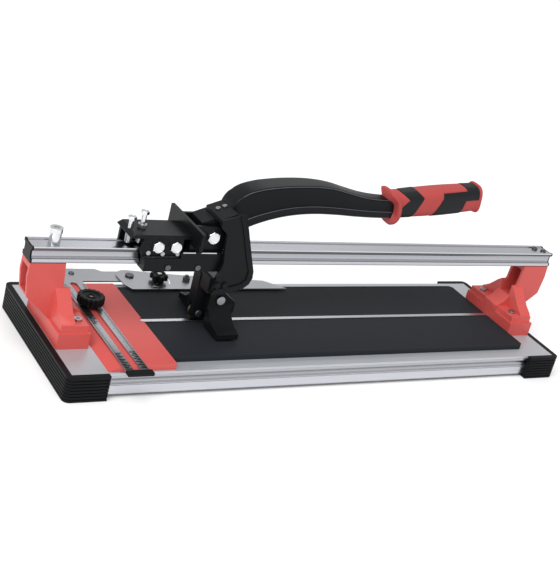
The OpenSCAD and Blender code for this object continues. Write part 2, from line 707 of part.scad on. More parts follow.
module top_roller(i) color("gainsboro")
    ring_y(top_roller_x[i], top_roller_z, -top_roller_w / 2, top_roller_w / 2,
        top_roller_d - 2 * roller_clear, bearing_pin_d + 2 * run_gap);
module top_roller_left() top_roller(0);
module top_roller_right() top_roller(1);

roller_clear = 0.2;

module side_roller(i, s) color("gainsboro")
    ring_z(side_roller_x[i], s * side_roller_y, roller_low, roller_low + side_roller_w,
        side_roller_d - 2 * roller_clear, 5 + 2 * run_gap);
module side_roller_front_left() side_roller(0, -1);
module side_roller_front_right() side_roller(1, -1);
module side_roller_rear_left() side_roller(0, 1);
module side_roller_rear_right() side_roller(1, 1);

// ---- lever ----

// Curves of the arm, as offsets from the pivot
function arm_top() = curve_points([27, 46], [50, 78], [130, 68], [arm_end, 47.5], 20);
function arm_low() = curve_points([28, 2], [75, 26], [130, 33], [arm_end, 24], 16);
arm_end = grip_x - pivot_x - 2.5;
tang = [18, lever_tip_w - 2 * lever_t + 0.4, 100];
function reversed(list) = [for (i = [len(list) - 1:-1:0]) list[i]];

// Width of the arm in plan, reduced by a wall on each side
module arm_plan(wall) translate([pivot_x, 0, 0]) linear_extrude(400) polygon([
    [20, -lever_w / 2 + wall], [110, -lever_w / 2 + wall],
    [grip_x - pivot_x - 5, -lever_tip_w / 2 + wall], [grip_x - pivot_x + 9, -lever_tip_w / 2 + wall],
    [grip_x - pivot_x + 9, lever_tip_w / 2 - wall], [grip_x - pivot_x - 5, lever_tip_w / 2 - wall],
    [110, lever_w / 2 - wall], [20, lever_w / 2 - wall]]);

// Pressed arm: a channel that is open below, with a tang for the grip
module lever_arm() color([0.11, 0.11, 0.12]) {
    difference() {
        intersection() {
            translate([pivot_x, 0, pivot_z]) plate_y(-20, 20)
                polygon(concat([[24, 30]], arm_top(), reversed(arm_low()), [[24, 4]]));
            arm_plan(0);
        }
        intersection() {
            translate([pivot_x, 0, pivot_z]) plate_y(-20, 20)
                polygon(concat([[20, 28], [27, 34]], [for (p = arm_top()) [p[0] + 2, p[1] - lever_t]],
                    [[300, 0], [300, -40], [20, -40]]));
            arm_plan(lever_t);
        }
    }
    on_grip() translate([0, 0, -24]) linear_extrude(tang[2] + 24) square([tang[0], tang[1]], center = true);
}

// Solid root that turns on the pivot bolt and fills the start of the arm
module lever_root() color([0.11, 0.11, 0.12]) difference() {
    translate([pivot_x, 0, pivot_z]) union() {
        plate_y(-lever_w / 2, lever_w / 2) union() {
            circle(r = 13);
            polygon([[-13, 0], [-13, 14], [24 - slide_gap, 28], [24 - slide_gap, -1], [5, -12]]);
        }
        plate_y(-lever_w / 2 + lever_t + 0.1, lever_w / 2 - lever_t - 0.1)
            polygon([[20, 26], [44, 35], [52, 18], [22, 0]]);
    }
    rod_y(pivot_x, pivot_z, -50, 50, pivot_d + 2 * run_gap);
}

// Places the children along the grip, with +Z along its length
module on_grip() translate([grip_x, 0, grip_z]) rotate([0, 90 - grip_tilt, 0]) children();

module grip_sleeve() color([0.72, 0.28, 0.27]) difference() {
    on_grip() union() {
        linear_extrude(9) round_rect(44, grip_w + 6, 14);
        translate([0, 0, 8]) linear_extrude(grip_l - 16) round_rect(grip_h, grip_w, 13);
        translate([0, 0, grip_l - 10]) linear_extrude(10) round_rect(grip_h + 2, grip_w + 2, 14);
    }
    grip_insert_shapes(0);
    on_grip() translate([0, 0, -1]) linear_extrude(tang[2] + 2)
        square([tang[0] + 0.3, tang[1] + 0.3], center = true);
}

// Soft inserts: a collar behind the guard and a long panel on each side
module grip_insert_shapes(gap) on_grip() {
    translate([0, 0, 14 + gap]) linear_extrude(18 - 2 * gap) difference() {
        round_rect(grip_h + 1, grip_w + 1, 13.5);
        round_rect(grip_h - 3, grip_w - 3, 11.5);
    }
    for (s = [-1, 1]) translate([2, s * (grip_w / 2 - 1), 58 + gap])
        linear_extrude(grip_l - 80 - 2 * gap) square([22 - 2 * gap, 3], center = true);
}
module grip_inserts() color([0.1, 0.1, 0.11]) grip_insert_shapes(tiny);

// C-shaped plate in front of the rail, with a rim and a flange on top of the lever root
module breaker_bracket() color([0.13, 0.14, 0.15]) difference() {
    translate([pivot_x, 0, pivot_z]) union() {
        plate_y(bracket_y - bracket_t, bracket_y) polygon(bracket_points);
        plate_y(bracket_y - bracket_t - 2, bracket_y - bracket_t + tiny) polygon([[30, 34], [37, 16],
            [50, -19], [57, -37], [58, -46], [55, -54], [48, -60], [36, -64], [9, -68], [11, -61],
            [35, -57], [45, -54], [50, -49], [51, -38], [43, -19], [30, 16], [23, 31]]);
        plate_y(bracket_y - 1, lever_w / 2 - 4) polygon([[2, 20.1], [22, 27.6], [22, 32.6], [2, 25.1]]);
    }
    for (p = flange_screws) flange_screw(p, screw_gap);
    for (x = holder_screw_x) {
        rod_y(x, holder_top - 7, -99, 0, 5 + 2 * screw_gap);
        rod_y(x, holder_top - 7, -99, bracket_y - bracket_t, 8.6);
    }
}

bracket_points = [[2, 25.1], [30, 34], [37, 16], [50, -19], [57, -37], [58, -46], [55, -54], [48, -60],
    [36, -64], [9, -68], [9, -58], [16, -28], [13, -8], [12, 8], [2, 17]];
flange_screws = [[9, -5], [17, -5]];
flange_tilt = 20.6;
holder_screw_x = [pivot_x + 14, pivot_x + 24];

// Screw square to the sloping top of the lever root; p is its place along and across
module flange_screw(p, gap) translate([pivot_x + p[0], p[1], pivot_z + 25.1 + (p[0] - 2) * 0.375])
    rotate([0, -flange_tilt, 0]) children_or_hole(gap);

module children_or_hole(gap) translate([0, 0, -14]) cylinder(d = 3 + 2 * gap, h = 20);

module bracket_screws() color("silver") {
    for (p = flange_screws) translate([pivot_x + p[0], p[1], pivot_z + 25.1 + (p[0] - 2) * 0.375])
        rotate([0, -flange_tilt, 0]) pan_screw(0, 0, 0.05, 3, 4.5);
    for (x = holder_screw_x) {
        rod_y(x, holder_top - 7, bracket_y - bracket_t - 1, bracket_y + 8, 5);
        rod_y(x, holder_top - 7, bracket_y - bracket_t - 2.5, bracket_y - bracket_t, 8);
    }
}

// Block under the rail: upper arm to the bracket, column, lug for the foot, fork for the wheel
module wheel_holder() color([0.1, 0.1, 0.11]) difference() {
    union() {
        plate_y(bracket_y, lug_w / 2 + 2) polygon([[pivot_x + 6, holder_top - 20],
            [holder_right, holder_top - 20], [holder_right, holder_top - 6.5],
            [pivot_x + 10, holder_top], [pivot_x + 6, holder_top]]);
        block([pivot_x + 5, -lug_w / 2, wheel_z - 5], [pivot_x + 23, lug_w / 2, holder_top - 5]);
        plate_y(-lug_w / 2, lug_w / 2) union() {
            translate([breaker_x, breaker_z]) circle(r = 10);
            polygon([[pivot_x + 20, breaker_z - 10], [breaker_x, breaker_z - 10],
                [breaker_x + 10, breaker_z], [breaker_x + 8, holder_top - 10],
                [pivot_x + 20, holder_top - 10]]);
        }
    }
    rod_y(wheel_x, wheel_z, -99, 99, 5 + 2 * screw_gap);
    rod_y(breaker_x, breaker_z, -99, 99, pin_d + 2 * screw_gap);
    block([pivot_x, -wheel_t / 2 - 0.4, 0], [pivot_x + 26, wheel_t / 2 + 0.4, wheel_z + wheel_d / 2 + 1]);
    for (x = holder_screw_x) rod_y(x, holder_top - 7, -99, bracket_y + 10, 5 + 2 * screw_gap);
}

module wheel_axle() color("silver") {
    rod_y(wheel_x, wheel_z, -lug_w / 2 - 1.5, lug_w / 2 + 0.5, 5);
    rod_y(wheel_x, wheel_z, -lug_w / 2 - 1.5, -lug_w / 2, 8);
}

// Scoring wheel with a sharp rim
module scoring_wheel() color("gold") translate([wheel_x, 0, wheel_z]) rotate([90, 0, 0]) difference() {
    rotate_extrude() polygon([[0, -wheel_t / 2], [wheel_d / 2 - 2.5, -wheel_t / 2], [wheel_d / 2, 0],
        [wheel_d / 2 - 2.5, wheel_t / 2], [0, wheel_t / 2]]);
    cylinder(d = 5 + 2 * run_gap, h = 20, center = true);
}

// Breaking foot: cheeks on the pin, a bridge below and an arm out to each shoe
module breaker_yoke() color([0.12, 0.13, 0.14]) difference() {
    cheek0 = lug_w / 2 + 0.5;
    translate([breaker_x, 0, 0]) union() {
        for (s = [0, 1]) mirror([0, s, 0]) {
            plate_y(-20, -cheek0) polygon([[-14, breaker_z + 11], [3, breaker_z + 11],
                [22, breaker_z - 4], [21, breaker_z - 18], [-4, breaker_z - 22],
                [-15, breaker_z - 16]]);
            translate([-14, 0, 0]) rotate([90, 0, 90]) linear_extrude(29) polygon([
                [-19, breaker_z - 8], [-foot_span / 2 + 16, shoe_low + 11],
                [-foot_span / 2, shoe_low + 7], [-foot_span / 2, shoe_low + shoe_t],
                [-foot_span / 2 + 36, shoe_low + shoe_t], [-17, breaker_z - 20]]);
            block([-14, -foot_span / 2, shoe_low + shoe_t], [15, -foot_span / 2 + 36, shoe_low + 7]);
        }
        block([-4, -18, breaker_z - 22], [20, 18, breaker_z - 12]);
    }
    rod_y(breaker_x, breaker_z, -99, 99, pin_d + 2 * run_gap);
}

module breaker_shoes() color([0.06, 0.06, 0.07]) for (s = [0, 1]) mirror([0, s, 0])
    block([breaker_x - 14, -foot_span / 2, shoe_low],
        [breaker_x + 15, -foot_span / 2 + 36, shoe_low + shoe_t]);

module breaker_pin() color("gainsboro") {
    rod_y(breaker_x, breaker_z, -20.5, 20.5, pin_d);
    rod_y(breaker_x, breaker_z, -23, -20 - slide_gap, pin_d + 3);
    rod_y(breaker_x, breaker_z, 20 + slide_gap, 22, pin_d + 3);
}

deck_plate();
front_profile();
rear_profile();
end_cap_left();
end_cap_right();
front_pad();
rear_pad();
breaking_strip();
support_left();
support_right();
support_screws();
rail();
rail_plugs();
rail_stop_bolt();
rail_screws();
guide_plate();
guide_screws();
clamp_stud();
stop_ruler();
stop_bar();
ruler_tip();
bar_rivets();
fence_pivot();
fence_stud();
clamp_knob();
swivel_fence();
fence_screw();
fence_knob();
carriage_body();
carriage_front_plate();
plate_screws();
guide_block_front();
guide_block_rear();
block_screws();
adjusting_bolts();
adjusting_bushes();
bearing_bolts();
bearing_nuts();
roller_pins();
pivot_bolt();
pivot_nut();
pivot_washers();
top_roller_left();
top_roller_right();
side_roller_front_left();
side_roller_front_right();
side_roller_rear_left();
side_roller_rear_right();
lever_root();
lever_arm();
grip_sleeve();
grip_inserts();
breaker_bracket();
bracket_screws();
wheel_holder();
wheel_axle();
scoring_wheel();
breaker_yoke();
breaker_shoes();
breaker_pin();
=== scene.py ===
# %% [markdown]
# # A bench tile cutter, built in Blender
# The tool is a low base with two rubber pads, a rail on two red castings, a carriage
# that rolls along the rail, and a long lever with a scoring wheel and a breaking foot.
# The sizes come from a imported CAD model, the frame. This script keeps that model's
# sizes and gives every piece its rounded edges, its small detail and its finish.

# %% Load the frame
import json
import math
import bmesh
import bpy
import numpy as np
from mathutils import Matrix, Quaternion, Vector

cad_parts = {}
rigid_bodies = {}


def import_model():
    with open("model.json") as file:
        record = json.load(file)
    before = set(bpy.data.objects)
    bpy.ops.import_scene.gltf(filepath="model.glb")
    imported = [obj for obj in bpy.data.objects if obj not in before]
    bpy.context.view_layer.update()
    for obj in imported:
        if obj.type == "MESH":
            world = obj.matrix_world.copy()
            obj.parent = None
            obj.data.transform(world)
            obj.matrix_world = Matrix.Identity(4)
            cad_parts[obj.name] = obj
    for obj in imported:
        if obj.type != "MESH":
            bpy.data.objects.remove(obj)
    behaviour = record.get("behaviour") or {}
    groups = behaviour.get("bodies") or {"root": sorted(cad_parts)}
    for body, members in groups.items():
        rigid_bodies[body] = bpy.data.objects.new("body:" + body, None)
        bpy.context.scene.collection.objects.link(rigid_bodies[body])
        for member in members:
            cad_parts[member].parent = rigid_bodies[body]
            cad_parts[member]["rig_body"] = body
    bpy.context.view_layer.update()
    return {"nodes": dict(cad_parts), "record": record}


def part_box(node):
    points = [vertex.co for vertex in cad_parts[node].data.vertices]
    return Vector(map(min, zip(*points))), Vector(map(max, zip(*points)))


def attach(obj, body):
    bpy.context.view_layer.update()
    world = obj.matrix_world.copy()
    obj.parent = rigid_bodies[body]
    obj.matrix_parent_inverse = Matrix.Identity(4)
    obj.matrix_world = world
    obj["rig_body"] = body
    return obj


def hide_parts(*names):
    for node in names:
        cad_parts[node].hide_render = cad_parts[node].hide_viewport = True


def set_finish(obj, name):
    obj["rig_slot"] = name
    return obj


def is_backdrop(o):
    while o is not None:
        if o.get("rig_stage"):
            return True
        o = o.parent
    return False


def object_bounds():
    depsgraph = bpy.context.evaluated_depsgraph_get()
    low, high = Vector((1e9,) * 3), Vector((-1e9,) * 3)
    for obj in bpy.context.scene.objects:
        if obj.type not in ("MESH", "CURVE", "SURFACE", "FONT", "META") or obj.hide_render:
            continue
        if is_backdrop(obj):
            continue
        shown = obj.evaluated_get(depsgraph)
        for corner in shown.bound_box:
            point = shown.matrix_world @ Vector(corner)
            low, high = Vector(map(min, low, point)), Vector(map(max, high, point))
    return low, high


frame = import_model()
MM = 0.001

# %% [markdown]
# ## Camera, floor and light
# The tool is seen from the front left and a little above, and the picture is tipped,
# so that the rail runs level across it. A camera could be tracked to an empty, but two
# points and one roll angle say the same thing and can be read. The floor is plain and
# nearly white. A wide soft sun lights the floor, so that the sky can stay grey: level metal
# then mirrors a grey sky and upright metal mirrors the white floor.

# %% Camera
def placed(name, data):
    """A new object with some data, linked into the scene at the world's origin."""
    thing = bpy.data.objects.new(name, data)
    bpy.context.scene.collection.objects.link(thing)
    return thing


EYE = Vector((-0.8614, -1.1834, 0.7008))
AIM = Vector((-0.0410, 0.0, 0.0764))
ROLL = math.radians(15.11)

camera = placed("camera", bpy.data.cameras.new("camera"))
camera.data.lens = 79.26
camera.data.sensor_width = 36
camera.data.clip_start, camera.data.clip_end = 0.05, 20
camera.location = EYE
camera.rotation_mode = "QUATERNION"
camera.rotation_quaternion = (AIM - EYE).to_track_quat("-Z", "Y") @ Quaternion((0, 0, 1), ROLL)
bpy.context.scene.camera = camera
print("camera distance", round((AIM - EYE).length, 3), "m")


# %% Floor and lamps
def node_tree(name):
    """A new material with its Principled shader; returns (material, nodes, links, shader)."""
    material = bpy.data.materials.new(name)
    material.use_nodes = True
    tree = material.node_tree
    return material, tree.nodes, tree.links, tree.nodes["Principled BSDF"]


floor_finish, _, _, paint = node_tree("studio_floor")
paint.inputs["Base Color"].default_value = (0.9, 0.9, 0.9, 1)
paint.inputs["Roughness"].default_value = 0.9
paint.inputs["Specular IOR Level"].default_value = 0.1
FLOOR_HALF, FLOOR_Z = 9, -0.0003
floor_mesh = bpy.data.meshes.new("studio_floor")
corners = [(i * FLOOR_HALF, j * FLOOR_HALF, FLOOR_Z) for i, j in ((-1, -1), (1, -1), (1, 1), (-1, 1))]
floor_mesh.from_pydata(corners, [], [(0, 1, 2, 3)])
floor_mesh.materials.append(floor_finish)
placed("studio_floor", floor_mesh)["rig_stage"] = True

world = bpy.data.worlds.new("pale_sky")
world.use_nodes = True
world.node_tree.nodes["Background"].inputs["Color"].default_value = (1, 1, 1, 1)
world.node_tree.nodes["Background"].inputs["Strength"].default_value = 0.62
bpy.context.scene.world = world
bpy.context.scene.view_settings.view_transform = "Standard"


def lamp(name, place, size, power):
    """A soft square lamp at a place, turned towards the middle of the tool."""
    light = bpy.data.lights.new(name, "AREA")
    light.shape, light.size, light.energy = "SQUARE", size, power
    holder = placed(name, light)
    holder.location = place
    holder.rotation_euler = (AIM - Vector(place)).to_track_quat("-Z", "Y").to_euler()


lamp("key_lamp", (-1.6, -0.9, 1.5), 0.8, 12)
lamp("back_lamp", (0.9, 1.7, 1.6), 0.9, 2.5)
noon = bpy.data.lights.new("soft_sun", "SUN")
noon.energy, noon.angle = 1.9, math.radians(55)
placed("soft_sun", noon).rotation_euler = Vector((0.35, 0.45, -1.0)).to_track_quat("-Z", "Y").to_euler()

# %% [markdown]
# ## Finishes
# The real tool has few finishes: drawn aluminium, zinc and chrome plate, black enamel,
# red enamel, moulded plastic and rubber. Each could be one flat colour, but a hand-held
# tool shows grain at arm's length. So one recipe builds them all: a base shader, a noise
# that is stretched along the grain and makes the roughness vary, and a fine bump.

# %% One recipe for every finish
def finish(name, colour, rough, metal, grain, spread, bump, shade, coat=0.0, specular=0.5, painted_shade_bands=()):
    """A finish with a noise on Object coordinates; `grain` is its repeats per metre.

    The noise n runs from 0 to 1. Roughness is rough + spread * (n - 0.5), the colour is
    scaled between 1 - shade and 1 + shade, and the bump is `bump` hundredths of a millimetre.
    Painted shade bands are pairs of (height in mm, brightness) that darken the colour by height."""
    material, nodes, links, shader = node_tree(name)
    shader.inputs["Metallic"].default_value = metal
    shader.inputs["Coat Weight"].default_value = coat
    shader.inputs["Coat Roughness"].default_value = 0.12
    shader.inputs["Specular IOR Level"].default_value = specular
    where = nodes.new("ShaderNodeTexCoord")
    stretch = nodes.new("ShaderNodeMapping")
    stretch.inputs["Scale"].default_value = grain if isinstance(grain, tuple) else (grain,) * 3
    noise = nodes.new("ShaderNodeTexNoise")
    noise.inputs["Scale"].default_value = 1.0
    noise.inputs["Detail"].default_value = 4.0
    links.new(where.outputs["Object"], stretch.inputs["Vector"])
    links.new(stretch.outputs["Vector"], noise.inputs["Vector"])
    varied = nodes.new("ShaderNodeMapRange")
    varied.inputs["To Min"].default_value = rough - spread / 2
    varied.inputs["To Max"].default_value = rough + spread / 2
    links.new(noise.outputs["Fac"], varied.inputs["Value"])
    links.new(varied.outputs["Result"], shader.inputs["Roughness"])
    tone = nodes.new("ShaderNodeMix")
    tone.data_type = "RGBA"
    tone.inputs["A"].default_value = (*[c * (1 - shade) for c in colour], 1)
    tone.inputs["B"].default_value = (*[min(1.0, c * (1 + shade)) for c in colour], 1)
    links.new(noise.outputs["Fac"], tone.inputs["Factor"])
    links.new(tone.outputs["Result"], shader.inputs["Base Color"])
    # Painted shade: a ramp on the Object height multiplies the colour, darker in some bands.
    if painted_shade_bands:
        height, level = nodes.new("ShaderNodeSeparateXYZ"), nodes.new("ShaderNodeMapRange")
        level.inputs["From Min"].default_value = painted_shade_bands[0][0] * MM
        level.inputs["From Max"].default_value = painted_shade_bands[-1][0] * MM
        ramp, painted_shade_mix = nodes.new("ShaderNodeValToRGB"), nodes.new("ShaderNodeMix")
        painted_shade_mix.data_type, painted_shade_mix.blend_type = "RGBA", "MULTIPLY"
        painted_shade_mix.inputs["Factor"].default_value = 1.0
        stops = ramp.color_ramp.elements
        while len(stops) < len(painted_shade_bands):
            stops.new(0.5)
        for stop, (z, bright) in zip(stops, painted_shade_bands):
            stop.position = (z - painted_shade_bands[0][0]) / (painted_shade_bands[-1][0] - painted_shade_bands[0][0])
            stop.color = (bright, bright, bright * 1.02, 1)
        links.new(where.outputs["Object"], height.inputs["Vector"])
        links.new(height.outputs["Z"], level.inputs["Value"])
        links.new(level.outputs["Result"], ramp.inputs["Fac"])
        links.new(tone.outputs["Result"], painted_shade_mix.inputs["A"])
        links.new(ramp.outputs["Color"], painted_shade_mix.inputs["B"])
        links.new(painted_shade_mix.outputs["Result"], shader.inputs["Base Color"])
    relief = nodes.new("ShaderNodeBump")
    relief.inputs["Strength"].default_value = 0.6
    relief.inputs["Distance"].default_value = bump * 0.00001
    links.new(noise.outputs["Fac"], relief.inputs["Height"])
    links.new(relief.outputs["Normal"], shader.inputs["Normal"])
    return material


# %% The finishes of this tool
DRAWN = (0.62, 0.63, 0.66)
ALONG_X = (6, 1400, 1400)
FINISH = {
    "aluminium": finish("drawn_aluminium", DRAWN, 0.24, 1, ALONG_X, 0.14, 0.5, 0.08),
    "deck_sheet": finish("brushed_deck_sheet", (0.52, 0.54, 0.57), 0.48, 0.6, (9, 1800, 1800),
                         0.16, 0.5, 0.10),
    "zinc_steel": finish("zinc_plate", (0.42, 0.425, 0.45), 0.32, 1, 160, 0.08, 0.5, 0.05),
    "dark_steel": finish("oiled_steel", (0.13, 0.13, 0.14), 0.36, 1, 800, 0.16, 0.8, 0.15),
    "chrome": finish("bright_chrome", (0.74, 0.75, 0.77), 0.14, 1, 200, 0.05, 0.2, 0.03),
    "red_casting": finish("red_enamel", (0.57, 0.078, 0.068), 0.42, 0, 260,
                          0.12, 3.0, 0.05, coat=0.06, specular=0.4),
    "red_plastic": finish("red_moulding", (0.56, 0.080, 0.072), 0.46, 0, 900,
                          0.10, 1.5, 0.04, specular=0.4),
    "black_metal": finish("black_enamel", (0.0048, 0.0054, 0.0064), 0.36, 0, 420,
                          0.12, 2.2, 0.12, specular=0.15),
    "black_plastic": finish("black_moulding", (0.0048, 0.0050, 0.0056), 0.42, 0, 1200,
                            0.12, 1.5, 0.15, specular=0.14),
    "cap_rubber": finish("cap_rubber", (0.0055, 0.0060, 0.0070), 0.46, 0, 900,
                         0.14, 1.5, 0.15, specular=0.10),
    "pad_rubber": finish("pad_rubber", (0.0170, 0.0195, 0.0235), 0.55, 0, 700,
                         0.16, 2.0, 0.2, specular=0.10),
    "grip_red": finish("red_grip_rubber", (0.40, 0.058, 0.055), 0.55, 0, 1100,
                       0.14, 3.0, 0.08, specular=0.2),
    "grip_black": finish("black_grip_rubber", (0.0080, 0.0090, 0.0105), 0.50, 0, 1300,
                         0.12, 2.0, 0.15, specular=0.22),
    "carbide": finish("coated_carbide", (0.20, 0.17, 0.12), 0.30, 1, 900, 0.10, 0.4, 0.06),
}
# Painted shade on the rail: its colour is darkened along its foot and in a strip under its top edge, and
# the top edge is left full bright as a painted highlight.
rail_painted_shade = finish("drawn_rail_painted_shade", DRAWN, 0.22, 1, ALONG_X, 0.12, 0.5, 0.08,
                     painted_shade_bands=[(117.0, 0.10), (117.8, 0.20), (118.6, 0.80), (122.0, 0.85), (126.4, 0.70),
                            (132.4, 0.60), (133.2, 0.20), (135.1, 0.16), (135.6, 1.0), (137.0, 1.0)])
# Painted shade on the profiles: their colour is darker along the foot and darkest in the groove.
profile_painted_shade = finish("drawn_profile_painted_shade", DRAWN, 0.24, 1, ALONG_X, 0.14, 0.5, 0.08,
                        painted_shade_bands=[(3.0, 0.5), (5.5, 0.95), (15.0, 0.95), (18.5, 0.8), (21.5, 0.42),
                               (24.0, 0.55), (26.0, 0.75), (28.0, 0.75)])
SLOT = {part["node"]: part["material_slot"] for part in frame["record"]["subparts"]}
print(len(FINISH), "finishes for", len(set(SLOT.values())), "slots")

# %% [markdown]
# ## Softened copies of the CAD pieces
# Castings, plates and screws have sharp edges in CAD, and no real part does: an edge
# catches light only if it is rounded. Each could be modelled again, but its size is
# already right. So a copy of the mesh is welded, its flat faces are joined, and a Bevel
# modifier rounds each edge that is sharper than a set angle.

# %% Weld, join and round
BODY = {name: node["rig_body"] for name, node in frame["nodes"].items()}
WELD, FLAT_ANGLE, EDGE_ANGLE = 0.000004, math.radians(0.6), math.radians(30)


def dress(piece, slot, body, replaced=(), crease=32):
    """Finish, smooth shading with creases, body, slot and the CAD nodes it stands for."""
    piece.data.materials.clear()
    piece.data.materials.append(FINISH[slot])
    piece.data.shade_smooth()
    piece.data.set_sharp_from_angle(angle=math.radians(crease))
    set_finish(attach(piece, body), slot)
    if replaced:
        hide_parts(*replaced)
    return piece


def softened(node, width, slot=None, heights=(-1.0, 1.0), suffix="_rounded"):
    """A welded copy of a CAD node, with edges over EDGE_ANGLE rounded by `width` millimetres.

    Only the part of it between two heights in metres is kept."""
    mesh = frame["nodes"][node].data.copy()
    shape = bmesh.new()
    shape.from_mesh(mesh)
    outside = [v for v in shape.verts if not heights[0] < v.co.z < heights[1]]
    bmesh.ops.delete(shape, geom=outside, context="VERTS")
    bmesh.ops.remove_doubles(shape, verts=shape.verts, dist=WELD)
    bmesh.ops.dissolve_limit(shape, angle_limit=FLAT_ANGLE, verts=shape.verts, edges=shape.edges)
    shape.to_mesh(mesh)
    shape.free()
    piece = dress(placed(node + suffix, mesh), slot or SLOT[node], BODY[node], [node])
    edge = piece.modifiers.new("rounded_edges", "BEVEL")
    edge.width, edge.segments = width * MM, 2
    edge.limit_method, edge.angle_limit = "ANGLE", EDGE_ANGLE
    edge.use_clamp_overlap = True
    edge.harden_normals = True
    return piece


ROUNDING = {
    "deck_plate": 0.5, "front_profile": 0.4, "rear_profile": 0.4, "end_cap_left": 0.35,
    "end_cap_right": 0.35, "breaking_strip": 0.4, "support_left": 1.6, "support_right": 1.6,
    "support_screws": 0.3, "rail": 0.35, "rail_plugs": 0.4, "rail_stop_bolt": 0.6,
    "rail_screws": 0.25, "guide_plate": 0.7, "guide_screws": 0.3, "clamp_stud": 0.4,
    "stop_ruler": 0.25, "stop_bar": 0.25, "ruler_tip": 0.5, "bar_rivets": 0.4,
    "fence_pivot": 0.4, "fence_stud": 0.3, "swivel_fence": 0.25, "fence_screw": 0.3,
    "carriage_body": 0.6, "carriage_front_plate": 0.4, "plate_screws": 0.5,
    "guide_block_front": 1.0, "guide_block_rear": 1.0, "block_screws": 0.3,
    "adjusting_bushes": 0.3, "roller_pins": 0.3, "pivot_washers": 0.3, "lever_root": 1.2,
    "breaker_bracket": 0.7, "wheel_holder": 0.8, "wheel_axle": 0.4,
    "breaker_yoke": 0.9, "breaker_shoes": 0.6, "breaker_pin": 0.5,
}
rounded = {node: softened(node, width) for node, width in ROUNDING.items()}
# The rail takes the aluminium finish with painted shade bands.
rounded["rail"].data.materials[0] = rail_painted_shade
# Both profiles take the aluminium finish with painted shade in the groove.
for node in ("front_profile", "rear_profile"):
    rounded[node].data.materials[0] = profile_painted_shade

# The bracket's upper screws are bright and its lower ones are painted.
SCREWS_PART = 0.14
softened("bracket_screws", 0.25, heights=(SCREWS_PART, 1.0))
softened("bracket_screws", 0.25, "black_metal", (-1.0, SCREWS_PART), "_lower_rounded")
print(len(ROUNDING) + 2, "pieces softened")

# %% [markdown]
# ## Surfaces from numpy grids
# The rest has shapes that CAD only roughed out. Each is a surface with two parameters: a
# row number and a place along the row. The points are worked out as one array, and the
# faces follow from the row and column numbers alone.

# %% From a grid of points to a mesh
def closed_mesh(name, points, faces, weld):
    """Mesh from a list of points in millimetres, with near points welded and faces outward."""
    mesh = bpy.data.meshes.new(name)
    mesh.from_pydata((points * MM).tolist(), [], faces)
    shape = bmesh.new()
    shape.from_mesh(mesh)
    if weld:
        bmesh.ops.remove_doubles(shape, verts=shape.verts, dist=weld)
    bmesh.ops.recalc_face_normals(shape, faces=shape.faces)
    shape.to_mesh(mesh)
    shape.free()
    return mesh


def surface(name, points, slot, body, replaced=(), loop=False, ends="fan", crease=32):
    """Tube from points[row, column] in millimetres; the last column joins the first.

    Face (i, j) joins points (i, j), (i, j+1), (i+1, j+1) and (i+1, j). With loop the last
    row joins the first. Otherwise the ends of the tube are closed by a fan to the middle of
    the row, or by one flat face."""
    points = np.asarray(points, float)
    rows, columns = points.shape[:2]
    index = np.arange(rows * columns).reshape(rows, columns)
    here = index if loop else index[:-1]
    below = np.roll(index, -1, 0) if loop else index[1:]
    quads = np.stack([here, np.roll(here, -1, 1), np.roll(below, -1, 1), below], -1)
    faces = quads.reshape(-1, 4).tolist()
    flat = points.reshape(-1, 3)
    if not loop and ends == "fan":
        flat = np.vstack([flat, points[0].mean(0), points[-1].mean(0)])
        first, last = index[0], index[-1]
        faces += np.stack([np.roll(first, -1), first, np.full(columns, len(flat) - 2)], -1).tolist()
        faces += np.stack([last, np.roll(last, -1), np.full(columns, len(flat) - 1)], -1).tolist()
    elif not loop:
        faces += [index[0][::-1].tolist(), index[-1].tolist()]
    return dress(placed(name, closed_mesh(name, flat, faces, WELD / 2)), slot, body, replaced, crease)


def joined(name, pieces, replaced=()):
    """Several surfaces with one finish made into one piece."""
    mesh = bpy.data.meshes.new(name)
    shape = bmesh.new()
    for piece in pieces:
        shape.from_mesh(piece.data)
    shape.to_mesh(mesh)
    shape.free()
    slot, body = pieces[0]["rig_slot"], pieces[0]["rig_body"]
    for piece in pieces:
        bpy.data.objects.remove(piece)
    return dress(placed(name, mesh), slot, body, replaced)


# %% [markdown]
# ## Bolts, nuts and bearings
# A hexagon head is a prism whose corners are cut by a cone, which gives the curved edges
# that a real head has. A boolean could cut it, but the head is also a surface of
# revolution whose radius is the smaller of the hexagon's and the cone's.

# %% Turned and hexagonal shapes
def along(axis, place, radius, turn, height):
    """Points at a radius and angle round an axis, "y" or "z", through a place."""
    a, b = radius * np.cos(turn), radius * np.sin(turn)
    height = height + 0 * turn
    parts = (a, height, b) if axis == "y" else (a, b, height)
    return np.stack(parts, -1) + np.array(place, float)


def turned(name, rows, axis, place, slot, body, columns, loop=False, across=0.0):
    """Surface of revolution through rows of (radius, height).

    With across, each radius is limited by a hexagon of that width over its flats:
    across / 2 / cos(the angle to the nearest flat)."""
    rows = np.array(rows, float)
    turn = np.linspace(0, 2 * np.pi, columns, endpoint=False)[None, :]
    radius = rows[:, :1] + 0 * turn
    if across:
        to_flat = (turn + np.pi / 6) % (np.pi / 3) - np.pi / 6
        radius = np.minimum(radius, across / 2 / np.cos(to_flat))
    points = along(axis, place, radius, turn, rows[:, 1:])
    return surface(name, points, slot, body, loop=loop, crease=30)


